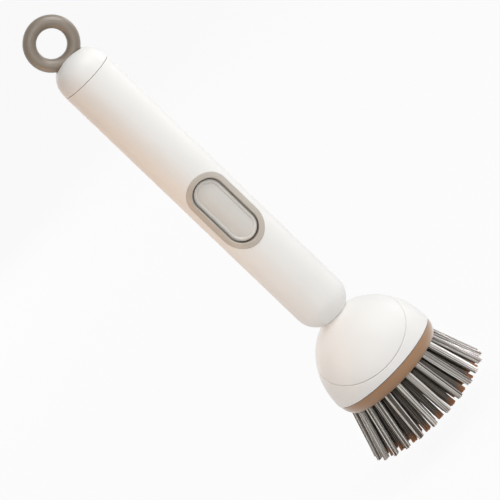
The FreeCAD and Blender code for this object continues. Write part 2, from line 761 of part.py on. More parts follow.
def pivot_o_ring():
    middle = V(0, 0, (seam_down + disc_base) / 2)
    return on_seam(Part.makeTorus(PIVOT_RADIUS - PIVOT_SEAL_WIRE, PIVOT_SEAL_WIRE - FIT, middle))


def friction_washer():
    return on_seam(ring(WASHER_RADIUS, PIVOT_RADIUS + FIT, washer_base, washer_base + WASHER))


def retaining_clip():
    """Spring clip in the pivot's groove, open on one side."""
    body = ring(CLIP_RADIUS, PIVOT_RADIUS - CLIP_GROOVE + FIT, clip_base, clip_base + CLIP)
    turn = math.radians(CLIP_OPENING / 2)
    side = V(far * math.cos(turn), far * math.sin(turn), clip_base - OVERRUN)
    mirror = V(side.x, -side.y, side.z)
    centre = V(0, 0, clip_base - OVERRUN)
    wedge = Part.Face(Part.makePolygon([centre, side, mirror, centre])).extrude(V(0, 0, CLIP + 2 * OVERRUN))
    return on_seam(body.cut(wedge))


def head_shell():
    """Lower part of the head: wall under the seam, tilted disc with the pivot's bore and the stop's slot."""
    body = dome(DOME_RADIUS, DOME_HEIGHT, rim_z).common(seam_slab(-far, seam_down))
    rim = edges_on(body, lambda p: on_radius(DOME_RADIUS)(p) and p.z < rim_z + FIT)
    body = body.makeFillet(SEAM_EDGE, edges_on(body, at_seam(seam_down)) + rim)
    hollow = inner_dome(0).common(seam_slab(-far, disc_base))
    slot_half = STOP_PIN_RADIUS + STOP_ROOM
    slot_low = seam_down - STOP_PIN_DROP - STOP_ROOM
    slot = ring(STOP_CIRCLE + slot_half, STOP_CIRCLE - slot_half, slot_low, seam_up)
    slot = slot.common(Part.makeBox(2 * far, far, 2 * far, V(-far, -far, -far)))
    ends = [upright(slot_half, slot_low, seam_up, x) for x in (STOP_CIRCLE, -STOP_CIRCLE)]
    cutters = [
        hollow,
        upright(socket_radius, rim_z - OVERRUN, rim_z + SPIGOT_HEIGHT + SOCKET_ROOM),
        on_seam(upright(PIVOT_RADIUS + RUN, -far, far)),
        on_seam(fuse_all([slot] + ends)),
    ]
    return cut_all(body, cutters)


def tuft_frame(radius, flare):
    """Foot of a tuft on the plate's lower face and the way it leans, for a tuft at angle zero."""
    lean = math.radians(flare)
    return V(radius, 0, BRISTLE_HEIGHT), V(math.sin(lean), 0, -math.cos(lean))


def ring_angles(count, shift_share):
    """Even angles about the wand, the first one a share of the step from the button's side."""
    return [360 * (n + shift_share) / count - 90 for n in range(count)]


def around(shape, count, shift_share):
    """Copies of a shape at even angles about the wand's axis."""
    copies = []
    for angle in ring_angles(count, shift_share):
        copy = shape.copy()
        copy.rotate(V(0, 0, 0), V(0, 0, 1), angle)
        copies.append(copy)
    return copies


def tufts(ring_radius, flare, count, shift_share):
    """One ring of bristle tufts, trimmed level at the tips."""
    foot, way = tuft_frame(ring_radius, flare)
    length = TUFT_DEPTH + BRISTLE_HEIGHT / math.cos(math.radians(flare))
    spread = (TUFT_TIP_RADIUS - TUFT_RADIUS) / length
    long = length + 2 * TUFT_TIP_RADIUS
    tuft = Part.makeCone(TUFT_RADIUS, TUFT_RADIUS + spread * long, long, foot - way * TUFT_DEPTH, way)
    trim = Part.makeBox(2 * far, 2 * far, far, V(-far, -far, -far))
    return Part.makeCompound(around(tuft.cut(trim), count, shift_share))


def hole_radius():
    """Tuft holes clear the tuft where it leaves the plate."""
    return TUFT_RADIUS + (TUFT_TIP_RADIUS - TUFT_RADIUS) * TUFT_DEPTH / (TUFT_DEPTH + BRISTLE_HEIGHT) + FIT


def brush_plate():
    """Plate that carries the tufts: tapered band, spigot into the head, drilled deck."""
    low = BRISTLE_HEIGHT
    high = rim_z - PLATE_GASKET - RUN
    foot = V(foot_radius, 0, low)
    brow = V(plate_radius, 0, high)
    bulge = V((foot_radius + plate_radius) / 2 + PLATE_BULGE, 0, (low + high) / 2 - PLATE_BULGE)
    spigot_top = rim_z + SPIGOT_HEIGHT
    inside = spigot_radius - SPIGOT_WALL
    corners = [brow]
    corners += [V(spigot_radius, 0, high), V(spigot_radius, 0, spigot_top)]
    corners += [V(inside, 0, spigot_top), V(inside, 0, low + DECK), V(0, 0, low + DECK), V(0, 0, low), foot]
    edges = [line(a, b) for a, b in zip(corners, corners[1:])]
    edges.append(Part.Arc(foot, bulge, brow).toShape())
    body = spin(edges)
    lower_rim = edges_on(body, lambda p: on_radius(foot_radius)(p) and p.z < low + FIT)
    body = body.makeFillet(PLATE_EDGE, lower_rim)
    holes = [upright(NOZZLE_RADIUS, low - OVERRUN, low + DECK + OVERRUN)]
    for ring_radius, flare, *pattern in RINGS:
        foot, way = tuft_frame(ring_radius, flare)
        depth = TUFT_DEPTH + ANCHOR_HEIGHT
        start = foot - way * depth
        holes += around(rod(hole_radius(), start, foot + way * 2 * TUFT_RADIUS), *pattern)
    return body.cut(Part.makeCompound(holes))


def tuft_anchors():
    """Metal staples at the bottom of the tuft holes."""
    anchors = []
    for ring_radius, flare, *pattern in RINGS:
        foot, way = tuft_frame(ring_radius, flare)
        width = TUFT_RADIUS * ANCHOR_WIDTH_SHARE
        corner = V(-ANCHOR_THICKNESS / 2, -width / 2, TUFT_DEPTH)
        staple = Part.makeBox(ANCHOR_THICKNESS, width, ANCHOR_HEIGHT, corner)
        staple.rotate(V(0, 0, 0), V(0, 1, 0), -flare)
        staple.translate(foot)
        anchors += around(staple, *pattern)
    return Part.makeCompound(anchors)


def plate_gasket():
    """Soft ring between the brush plate and the head's rim."""
    low = rim_z - PLATE_GASKET - RUN
    return ring(plate_radius - GASKET_INSET, spigot_radius + FIT, low, low + PLATE_GASKET)


def soap_nozzle():
    """Soft nozzle with a crossed slit, flange down on the deck."""
    deck = BRISTLE_HEIGHT + DECK
    radius = NOZZLE_RADIUS - FIT
    flange = upright(NOZZLE_FLANGE, deck, deck + NOZZLE_FLANGE_HEIGHT)
    stem = upright(radius, BRISTLE_HEIGHT, deck + FIT)
    tip = dome(radius, NOZZLE_DROP, 0)
    tip.rotate(V(0, 0, 0), V(1, 0, 0), 180)
    tip.translate(V(0, 0, BRISTLE_HEIGHT))
    body = fuse_all([flange, stem, tip])
    body = body.cut(upright(radius - NOZZLE_WALL, BRISTLE_HEIGHT, deck + NOZZLE_FLANGE_HEIGHT + OVERRUN))
    reach = radius - NOZZLE_WALL
    depth = NOZZLE_DROP + OVERRUN
    base = BRISTLE_HEIGHT - NOZZLE_DROP - OVERRUN / 2
    body = body.cut(Part.makeBox(2 * reach, NOZZLE_SLIT, depth, V(-reach, -NOZZLE_SLIT / 2, base)))
    return body.cut(Part.makeBox(NOZZLE_SLIT, 2 * reach, depth, V(-NOZZLE_SLIT / 2, -reach, base)))


def loop_solid(ring_gap, stem_gap):
    """Hanging loop's ring and its stem, each larger by a gap."""
    torus = Part.makeTorus(LOOP_RADIUS, LOOP_TUBE + ring_gap, V(0, 0, loop_z), V(0, 1, 0))
    width = LOOP_STEM_WIDTH + 2 * stem_gap
    thickness = LOOP_STEM_THICKNESS + 2 * stem_gap
    low = cap_top_z - CAP_ROOF - LOOP_FOOT
    high = loop_z - LOOP_RADIUS
    stem = Part.makeBox(width, thickness, high - low, V(-width / 2, -thickness / 2, low))
    return fuse_all([torus, stem])


def hang_loop():
    """Soft loop with a flat land inside the hole, and a foot that holds it under the cap's roof."""
    land_radius = LOOP_RADIUS - math.sqrt(LOOP_TUBE ** 2 - (LOOP_LAND / 2) ** 2)
    low = cap_top_z - CAP_ROOF - LOOP_FOOT
    corner = V(-LOOP_FOOT_WIDTH / 2, -LOOP_STEM_THICKNESS / 2, low)
    foot = Part.makeBox(LOOP_FOOT_WIDTH, LOOP_STEM_THICKNESS, LOOP_FOOT - FIT, corner)
    body = fuse_all([loop_solid(0, 0), foot])
    return body.cut(rod(land_radius, V(0, -far, loop_z), V(0, far, loop_z)))


def end_cap():
    """Domed cap with a pocket for the loop and a skirt over the threaded plug."""
    base = mouth_z + CAP_GAP
    body = dome(HANDLE_RADIUS, CAP_HEIGHT - CAP_GAP, base, CAP_FULL_SHARE)
    rim = edges_on(body, lambda p: on_radius(HANDLE_RADIUS)(p) and p.z < base + FIT)
    body = body.makeFillet(MOUTH_EDGE, rim)
    cutters = [
        upright(plug_radius + FIT, base - OVERRUN, base + CAP_SKIRT),
        upright(CAP_HOLLOW, base, cap_top_z - CAP_ROOF),
        loop_solid(LOOP_POCKET_GAP, LOOP_GAP),
    ]
    return cut_all(body, cutters)


def cap_plug():
    """Threaded plug pressed into the cap, closed at its lower end."""
    low = mouth_z - PLUG_DEPTH
    high = mouth_z + CAP_GAP + CAP_SKIRT - FIT
    body = upright(plug_radius, low, high)
    for wire in thread_wires(THREAD_WIRE, 0, THREAD_TURNS * THREAD_LEAD):
        body = body.fuse(wire)
    return body.cut(upright(plug_radius - PLUG_WALL, low + PLUG_WALL, high + OVERRUN))


def cap_o_ring():
    middle = V(0, 0, mouth_z - CAP_SEAL_DEPTH / 2)
    return Part.makeTorus(plug_radius + CAP_SEAL_WIRE + FIT, CAP_SEAL_WIRE, middle)


PIECES = [
    handle_shell,
    neck_dome,
    neck_gasket,
    neck_nut,
    button_bezel,
    well_gasket,
    pump_body,
    inlet_seat,
    inlet_ball,
    outlet_valve,
    outlet_barb,
    soap_tube,
    thumb_button,
    pump_piston,
    piston_o_ring,
    return_spring,
    pivot_plate,
    pivot_screws,
    dome_gasket,
    stop_pin,
    pivot_o_ring,
    friction_washer,
    retaining_clip,
    head_shell,
    brush_plate,
    tuft_anchors,
    plate_gasket,
    soap_nozzle,
    hang_loop,
    end_cap,
    cap_plug,
    cap_o_ring,
]

os.makedirs("parts", exist_ok=True)
shapes = {piece.__name__: piece() for piece in PIECES}
for name, ring_values in zip(RING_NAMES, RINGS):
    shapes[name] = tufts(*ring_values)
for name, shape in shapes.items():
    shape.exportStep("parts/" + name + ".step")
    print(name, len(shape.Solids), shape.isValid(), round(shape.Volume, 1))
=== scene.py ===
import json
import math

import bmesh
import bpy
import numpy as np
from mathutils import Matrix, Vector


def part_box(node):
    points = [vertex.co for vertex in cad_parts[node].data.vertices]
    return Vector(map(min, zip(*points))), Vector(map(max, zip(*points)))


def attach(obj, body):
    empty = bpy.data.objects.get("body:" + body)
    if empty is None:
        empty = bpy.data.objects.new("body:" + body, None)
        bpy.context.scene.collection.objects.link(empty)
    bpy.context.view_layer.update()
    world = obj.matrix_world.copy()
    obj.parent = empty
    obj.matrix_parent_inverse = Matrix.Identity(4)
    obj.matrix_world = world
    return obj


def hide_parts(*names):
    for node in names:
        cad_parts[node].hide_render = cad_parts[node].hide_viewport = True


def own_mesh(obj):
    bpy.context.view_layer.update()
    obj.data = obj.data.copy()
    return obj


# Looks of the dish wand, in metres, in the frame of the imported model: +Z runs up along the handle, the wand
# stands on its bristle tips at z = 0 and the thumb button faces -Y.

SEED = 20
MM = 0.001

# Camera: degrees above the horizon, roll in degrees, distance, lens and sensor width in millimetres
CAMERA_TARGET = Vector((-0.0058, 0.0, 0.1221))
CAMERA_ELEVATION = 11.6
CAMERA_ROLL = -46.25
CAMERA_DISTANCE = 1.9
CAMERA_LENS = 273.6
CAMERA_SENSOR = 36.0

# Lamps: name, middle that it lights, direction that the light comes from, distance, level on a white face
# that looks at it, size, beam angle in degrees, colour
WAND_MIDDLE = (0.0, 0.0, 0.140)
HANDLE_MIDDLE = (0.0, 0.0, 0.175)
HEAD_MIDDLE = (0.0, 0.0, 0.042)
BRISTLE_SIDE = (0.028, -0.008, 0.006)
LAMPS = [
    ("key", WAND_MIDDLE, (0.66, -0.42, 0.62), 1.3, 0.57, 0.9, 180, (1.0, 0.995, 0.985)),
    ("rim", WAND_MIDDLE, (0.86, 0.40, 0.14), 1.3, 0.21, 0.7, 180, (0.96, 0.98, 1.0)),
    ("front_fill", WAND_MIDDLE, (0.05, -0.96, 0.28), 1.3, 0.22, 1.0, 180, (1.0, 0.99, 0.97)),
    ("warm_fill", HANDLE_MIDDLE, (-0.94, -0.30, 0.05), 0.15, 0.30, 0.12, 180, (1.0, 0.52, 0.18)),
    ("head_fill", HEAD_MIDDLE, (-0.78, -0.38, 0.36), 0.14, 0.12, 0.08, 180, (0.97, 0.99, 1.0)),
    ("bristle_rim", BRISTLE_SIDE, (0.86, -0.48, 0.12), 0.30, 1.00, 0.012, 9, (1.0, 1.0, 1.0)),
    ("back", WAND_MIDDLE, (-0.35, 0.90, 0.25), 1.3, 0.25, 1.0, 180, (0.97, 0.98, 1.0)),
]

# World and floor
WORLD_LEVEL = 0.36
FLOOR_HALF = 20.0
FLOOR_ROOM = 1.0 * MM
FLOOR_WHITE_SHARE = 0.93
FLOOR_COLOUR = (0.70, 0.69, 0.68)

# Colours, linear
WHITE = (0.870, 0.864, 0.850)
BEZEL = (0.525, 0.482, 0.426)
BUTTON = (0.680, 0.665, 0.635)
LOOP = (0.132, 0.090, 0.048)
TAN = (0.375, 0.210, 0.108)
BRISTLE = (0.820, 0.800, 0.765)
# Darkest filament colour, and the painted shade of the inner tuft rings
BRISTLE_DARK_AND_PAINTED_SHADE = (0.050, 0.035, 0.022)
# Colour of the painted glow of light shining through the bristle tips
BRISTLE_TIP_GLOW = (0.330, 0.135, 0.050)
RUBBER = (0.045, 0.043, 0.041)
CLEAR = (0.760, 0.740, 0.690)
NATURAL = (0.700, 0.715, 0.735)
STEEL = (0.560, 0.565, 0.575)
BRASS = (0.600, 0.420, 0.160)

# Roughness of each finish, and the shader values that are the same all over it
ROUGHNESS = {
    "white_plastic": 0.50,
    "bezel_plastic": 0.36,
    "button_plastic": 0.30,
    "loop_silicone": 0.48,
    "tan_plastic": 0.32,
    "seal_rubber": 0.55,
    "clear_silicone": 0.32,
    "pump_plastic": 0.34,
    "steel": 0.28,
    "brass": 0.30,
}
LOOP_SHEEN = {"IOR": 1.7, "Specular_IOR_Level": 1.0, "Sheen_Weight": 0.8, "Sheen_Roughness": 0.4}
TAN_SHEEN = {"Sheen_Weight": 1.0, "Sheen_Roughness": 0.35}
CLEAR_DEPTH = {"Subsurface_Weight": 0.3, "Subsurface_Scale": 1.5 * MM}
NYLON_GLOSS = {"IOR": 1.5, "Specular_IOR_Level": 0.4}

# Surface detail: sizes of blotches and grain, depths of relief, shares of the colour that a blotch keeps,
# and how far the roughness varies
SOFT_DETAIL = 3.0
FINE_DETAIL = 4.0
CLOUD_SIZE = 22 * MM
CLOUD_SHARE = 0.975
PATCH_SIZE = 7 * MM
PATCH_ROUGHNESS = 0.02
MOULD_GRAIN = 0.22 * MM
MOULD_DEPTH = 0.006 * MM
TRIM_DEPTH = 0.009 * MM
BLOOM_SIZE = 5 * MM
BLOOM_SHARE = 0.93
BLOOM_ROUGHNESS = (0.05, -0.04)
SKIN_GRAIN = 0.12 * MM
SKIN_DEPTH = 0.008 * MM
STREAK_SIZE = 0.25 * MM
STREAK_STRETCH = (1, 1, 0.08)
STREAK_SHARE = 0.85
STREAK_ROUGHNESS = (-0.06, 0.08)
STREAK_DEPTH = 0.002 * MM
NYLON_GRAIN = 0.3 * MM
NYLON_STRETCH = (1, 1, 0.1)
NYLON_ROUGHNESS = (0.20, 0.30)
NYLON_DEPTH = 0.006 * MM

# Bristles: filaments of each tuft lie in rings round a middle one
FILAMENT_RADIUS = 0.29 * MM
FILAMENT_RINGS = (1, 6, 12)
FILAMENT_SIDES = 8
FILAMENT_STEPS = 7
FILAMENT_TRIM = (0.10 * MM, 0.45 * MM)
FILAMENT_BOW = 0.10 * MM
FILAMENT_STRAY = 0.10 * MM
OUTER_SHADES = (0.03, 1.0)
# The inner rings' filaments are painted dark: painted shade between the tufts
INNER_PAINTED_SHADES = (0.0, 0.10)
SHADE_CONTRAST = 0.45
OUTER_BUNDLE_SHARE = 0.90
INNER_BUNDLE_SHARE = 1.0
# Strength of the painted glow at the tips, and where along each filament it starts: light shining through the
# filament ends, painted into their colour
OUTER_TIP_GLOW = 0.15
INNER_TIP_GLOW = 1.0
TIP_GLOW_START_SHARE = 0.90
FILAMENT_CREASE = math.radians(60)
TUFT_WELD = 0.001 * MM
TIP_LAYER = 0.01 * MM
FOOT_LAYER = 2.0 * MM

# Hanging loop
LOOP_STEPS = 144
LOOP_SIDES = 40
LOOP_STEM_WIDTH = 8.0 * MM
LOOP_STEM_THICKNESS = 4.6 * MM
LOOP_FOOT_WIDTH = 13.0 * MM
LOOP_FOOT_HEIGHT = 2.15 * MM
LOOP_EDGE = 0.6 * MM
LOOP_EDGE_STEPS = 3
LOOP_EDGE_PROFILE = 0.5
LOOP_VOXEL = 0.3 * MM
LOOP_EASE = 0.5
LOOP_EASE_ROUNDS = 6

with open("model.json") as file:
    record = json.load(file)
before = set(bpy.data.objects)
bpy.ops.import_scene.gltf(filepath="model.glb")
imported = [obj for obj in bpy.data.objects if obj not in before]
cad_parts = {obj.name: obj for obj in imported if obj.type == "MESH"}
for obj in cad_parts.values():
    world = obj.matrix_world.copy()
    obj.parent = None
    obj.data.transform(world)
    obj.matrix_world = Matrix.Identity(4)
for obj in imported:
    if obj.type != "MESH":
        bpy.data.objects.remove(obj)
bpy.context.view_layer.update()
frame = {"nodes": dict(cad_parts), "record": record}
NODES = frame["nodes"]


def joint_named(name):
    return next(j for j in frame["record"]["behaviour"]["joints"] if j["name"] == name)


def place_camera():
    """Camera in front of the button, rolled so that the wand lies from upper left to lower right."""
    rise = math.radians(CAMERA_ELEVATION)
    roll = math.radians(CAMERA_ROLL)
    back = Vector((0, -math.cos(rise), math.sin(rise)))
    right = Vector((1, 0, 0))
    up = back.cross(right)
    across = right * math.cos(roll) + up * math.sin(roll)
    upward = up * math.cos(roll) - right * math.sin(roll)
    data = bpy.data.cameras.new("camera")
    data.lens = CAMERA_LENS
    data.sensor_width = CAMERA_SENSOR
    camera = bpy.data.objects.new("camera", data)
    turn = Matrix((across, upward, back)).transposed().to_4x4()
    camera.matrix_world = Matrix.Translation(CAMERA_TARGET + back * CAMERA_DISTANCE) @ turn
    bpy.context.scene.collection.objects.link(camera)
    bpy.context.scene.camera = camera


def place_lamps():
    """Soft lamps round the wand, and a narrow beam on the bristles, whose power goes with its angle."""
    for name, middle, way, distance, level, size, beam, colour in LAMPS:
        data = bpy.data.lights.new(name, "AREA")
        data.shape = "DISK"
        data.size = size
        half_beam = math.radians(beam) / 2
        data.spread = 2 * half_beam
        data.energy = level * (math.pi * distance) ** 2 * (1 - half_beam / math.tan(half_beam))
        data.color = colour
        lamp = bpy.data.objects.new(name, data)
        direction = Vector(way).normalized()
        lamp.location = Vector(middle) + direction * distance
        lamp.visible_camera = False
        lamp.rotation_mode = "QUATERNION"
        lamp.rotation_quaternion = direction.to_track_quat("Z", "Y")
        bpy.context.scene.collection.objects.link(lamp)


def seen_directly(tree):
    """1 for rays that show the background itself: from the camera, mirrored or through glass."""
    path = tree.nodes.new("ShaderNodeLightPath")
    total = path.outputs["Is Camera Ray"]
    for name in ("Is Glossy Ray", "Is Transmission Ray"):
        larger = tree.nodes.new("ShaderNodeMath")
        larger.operation = "MAXIMUM"
        tree.links.new(total, larger.inputs[0])
        tree.links.new(path.outputs[name], larger.inputs[1])
        total = larger.outputs[0]
    return total


def make_world():
    """White where it is seen, and an even soft light elsewhere."""
    world = bpy.data.worlds.new("studio")
    bpy.context.scene.world = world
    world.use_nodes = True
    tree = world.node_tree
    tree.nodes.clear()
    level = tree.nodes.new("ShaderNodeMapRange")
    level.inputs["To Min"].default_value = WORLD_LEVEL
    level.inputs["To Max"].default_value = 1.0
    tree.links.new(seen_directly(tree), level.inputs["Value"])
    background = tree.nodes.new("ShaderNodeBackground")
    tree.links.new(level.outputs[0], background.inputs["Strength"])
    output = tree.nodes.new("ShaderNodeOutputWorld")
    tree.links.new(background.outputs[0], output.inputs["Surface"])


def make_floor():
    """Pale floor that reads as white and keeps a faint shadow, just under the brush when it is pulled out."""
    half = FLOOR_HALF
    level = -joint_named("brush_release")["range_m"][1] - FLOOR_ROOM
    mesh = bpy.data.meshes.new("floor")
    corners = [(-half, -half, level), (half, -half, level), (half, half, level), (-half, half, level)]
    mesh.from_pydata(corners, [], [(0, 1, 2, 3)])
    floor = bpy.data.objects.new("floor", mesh)
    bpy.context.scene.collection.objects.link(floor)
    material = bpy.data.materials.new("floor")
    material.use_nodes = True
    tree = material.node_tree
    tree.nodes.clear()
    diffuse = tree.nodes.new("ShaderNodeBsdfDiffuse")
    diffuse.inputs["Color"].default_value = (*FLOOR_COLOUR, 1)
    glow = tree.nodes.new("ShaderNodeEmission")
    glow.inputs["Color"].default_value = (1, 1, 1, 1)
    share = tree.nodes.new("ShaderNodeMapRange")
    share.inputs["To Max"].default_value = FLOOR_WHITE_SHARE
    tree.links.new(seen_directly(tree), share.inputs["Value"])
    mix = tree.nodes.new("ShaderNodeMixShader")
    tree.links.new(share.outputs[0], mix.inputs["Fac"])
    tree.links.new(diffuse.outputs[0], mix.inputs[1])
    tree.links.new(glow.outputs[0], mix.inputs[2])
    output = tree.nodes.new("ShaderNodeOutputMaterial")
    tree.links.new(mix.outputs[0], output.inputs["Surface"])
    mesh.materials.append(material)


class Finish:
    """A procedural material: a Principled shader with helpers for what varies over the surface."""

    def __init__(self, name, **values):
        self.material = bpy.data.materials.new(name)
        self.material.use_nodes = True
        self.tree = self.material.node_tree
        self.tree.nodes.clear()
        self.shader = self.tree.nodes.new("ShaderNodeBsdfPrincipled")
        output = self.tree.nodes.new("ShaderNodeOutputMaterial")
        self.tree.links.new(self.shader.outputs[0], output.inputs["Surface"])
        self.place = self.tree.nodes.new("ShaderNodeTexCoord").outputs["Object"]
        for socket, value in values.items():
            self.shader.inputs[socket.replace("_", " ")].default_value = value

    def stretched(self, scale):
        """The place on the object, scaled along each axis."""
        mapping = self.tree.nodes.new("ShaderNodeMapping")
        mapping.inputs["Scale"].default_value = scale
        self.tree.links.new(self.place, mapping.inputs["Vector"])
        return mapping.outputs[0]

    def noise(self, size, detail=2.0, place=None):
        """Noise whose blotches are about that size, in metres."""
        node = self.tree.nodes.new("ShaderNodeTexNoise")
        node.inputs["Scale"].default_value = 1 / size
        node.inputs["Detail"].default_value = detail
        self.tree.links.new(place or self.place, node.inputs["Vector"])
        return node.outputs["Fac"]

    def attribute(self, name):
        node = self.tree.nodes.new("ShaderNodeAttribute")
        node.attribute_name = name
        return node.outputs["Fac"]

    def spread(self, value, low, high, start=0.3, end=0.7):
        """Maps a value's middle range to low and high."""
        node = self.tree.nodes.new("ShaderNodeMapRange")
        node.inputs["From Min"].default_value = start
        node.inputs["From Max"].default_value = end
        node.inputs["To Min"].default_value = low
        node.inputs["To Max"].default_value = high
        self.tree.links.new(value, node.inputs["Value"])
        return node.outputs[0]

    def between(self, factor, first, second):
        """A colour between two colours or colour outputs."""
        node = self.tree.nodes.new("ShaderNodeMix")
        node.data_type = "RGBA"
        self.tree.links.new(factor, node.inputs["Factor"])
        for socket, colour in (("A", first), ("B", second)):
            target = next(i for i in node.inputs if i.name == socket and i.type == "RGBA")
            if isinstance(colour, tuple):
                target.default_value = (*colour, 1)
            else:
                self.tree.links.new(colour, target)
        return next(o for o in node.outputs if o.type == "RGBA")

    def give(self, socket, output):
        self.tree.links.new(output, self.shader.inputs[socket])

    def bump(self, height, depth, strength=1.0):
        """Relief of that depth in metres."""
        node = self.tree.nodes.new("ShaderNodeBump")
        node.inputs["Strength"].default_value = strength
        node.inputs["Distance"].default_value = depth
        self.tree.links.new(height, node.inputs["Height"])
        self.give("Normal", node.outputs[0])


def times(colour, share):
    return tuple(c * share for c in colour)


def moulded(name, colour, depth=MOULD_DEPTH, **values):
    """Moulded plastic: even colour with a faint cloud, satin gloss that varies, fine spark-eroded grain."""
    finish = Finish(name, **values)
    cloud = finish.spread(finish.noise(CLOUD_SIZE, SOFT_DETAIL), 0.0, 1.0)
    finish.give("Base Color", finish.between(cloud, times(colour, CLOUD_SHARE), colour))
    patch = finish.noise(PATCH_SIZE, FINE_DETAIL)
    roughness = ROUGHNESS[name]
    finish.give("Roughness", finish.spread(patch, roughness - PATCH_ROUGHNESS, roughness + PATCH_ROUGHNESS))
    finish.bump(finish.noise(MOULD_GRAIN, SOFT_DETAIL), depth)
    return finish.material


def rubbery(name, colour, **values):
    """Silicone or rubber: dull, with a soft skin and a faint bloom."""
    finish = Finish(name, **values)
    bloom = finish.noise(BLOOM_SIZE, FINE_DETAIL)
    shade = finish.spread(bloom, 0.0, 1.0)
    finish.give("Base Color", finish.between(shade, times(colour, BLOOM_SHARE), colour))
    first, last = (ROUGHNESS[name] + change for change in BLOOM_ROUGHNESS)
    finish.give("Roughness", finish.spread(bloom, first, last))
    finish.bump(finish.noise(SKIN_GRAIN, FINE_DETAIL), SKIN_DEPTH)
    return finish.material


def metal(name, colour):
    """Bright metal with drawn streaks."""
    finish = Finish(name, Metallic=1.0)
    streak = finish.noise(STREAK_SIZE, SOFT_DETAIL, finish.stretched(STREAK_STRETCH))
    finish.give("Base Color", finish.between(streak, times(colour, STREAK_SHARE), colour))
    first, last = (ROUGHNESS[name] + change for change in STREAK_ROUGHNESS)
    finish.give("Roughness", finish.spread(streak, first, last))
    finish.bump(streak, STREAK_DEPTH)
    return finish.material


def nylon(name):
    """Bristle filament: glossy, with a tone of its own that on the inner rings is painted shade, a faint
    length grain, and a warm painted glow of light through the tip.
    """
    finish = Finish(name, **NYLON_GLOSS)
    # The dark end is also the painted shade of the inner rings
    body = finish.between(finish.attribute("shade"), BRISTLE_DARK_AND_PAINTED_SHADE, BRISTLE)
    # Painted glow of light through the filament tips
    finish.give("Base Color", finish.between(finish.attribute("tip_glow"), body, BRISTLE_TIP_GLOW))
    grain = finish.noise(NYLON_GRAIN, place=finish.stretched(NYLON_STRETCH))
    finish.give("Roughness", finish.spread(grain, *NYLON_ROUGHNESS))
    finish.bump(grain, NYLON_DEPTH)
    return finish.material


def make_finishes():
    """One material for each of the record's slots."""
    return {
        "white_plastic": moulded("white_plastic", WHITE),
        "bezel_plastic": moulded("bezel_plastic", BEZEL, TRIM_DEPTH),
        "button_plastic": moulded("button_plastic", BUTTON),
        "loop_silicone": rubbery("loop_silicone", LOOP, **LOOP_SHEEN),
        "tan_plastic": moulded("tan_plastic", TAN, TRIM_DEPTH, **TAN_SHEEN),
        "bristle_nylon": nylon("bristle_nylon"),
        "seal_rubber": rubbery("seal_rubber", RUBBER),
        "clear_silicone": rubbery("clear_silicone", CLEAR, **CLEAR_DEPTH),
        "pump_plastic": moulded("pump_plastic", NATURAL),
        "steel": metal("steel", STEEL),
        "brass": metal("brass", BRASS),
    }


def dress_nodes(finishes):
    """Puts each slot's material on the CAD nodes that take it."""
    for entry in frame["record"]["subparts"]:
        node = NODES[entry["node"]]
        node.data.materials.clear()
        node.data.materials.append(finishes[entry["material_slot"]])


def add_piece(name, verts, faces, body, slot, material, *nodes):
    """New mesh piece that rides on a body and stands for CAD nodes."""
    mesh = bpy.data.meshes.new(name)
    mesh.from_pydata(verts, [], faces)
    mesh.validate()
    mesh.polygons.foreach_set("use_smooth", [True] * len(mesh.polygons))
    mesh.materials.append(material)
    piece = bpy.data.objects.new(name, mesh)
    bpy.context.scene.collection.objects.link(piece)
    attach(piece, body)
    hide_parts(*nodes)
    return piece


def tuft_ends(node):
    """Middle and radius of each tuft's foot and tip, read from the node's separate solids."""
    solid = bmesh.new()
    solid.from_mesh(NODES[node].data)
    bmesh.ops.remove_doubles(solid, verts=solid.verts, dist=TUFT_WELD)
    left = set(solid.verts)
    tufts = []
    while left:
        island = {min(left, key=lambda v: v.index)}
        edge = set(island)
        while edge:
            edge = {e.other_vert(v) for v in edge for e in v.link_edges} - island
            island |= edge
        left -= island
        places = np.array([v.co for v in sorted(island, key=lambda v: v.index)])
        low = places[places[:, 2] < TIP_LAYER]
        high = places[places[:, 2] >= places[:, 2].max() - FOOT_LAYER]
        tip, foot = low.mean(0), high.mean(0)
        across = np.linalg.norm(high - foot, axis=1).max()
        tip_across = np.abs((low - tip) @ np.array([-tip[1], tip[0], 0]) / np.hypot(tip[0], tip[1])).max()
        tufts.append((foot, tip, across, tip_across))
    solid.free()
    return tufts


def filament_places():
    """Places of a tuft's filaments across a disc of radius one."""
    outer = len(FILAMENT_RINGS) - 1
    places = []
    for ring, count in enumerate(FILAMENT_RINGS):
        for n in range(count):
            turn = 2 * math.pi * (n + 0.5 * (ring % 2)) / count
            places.append((ring / outer * math.cos(turn), ring / outer * math.sin(turn)))
    return places


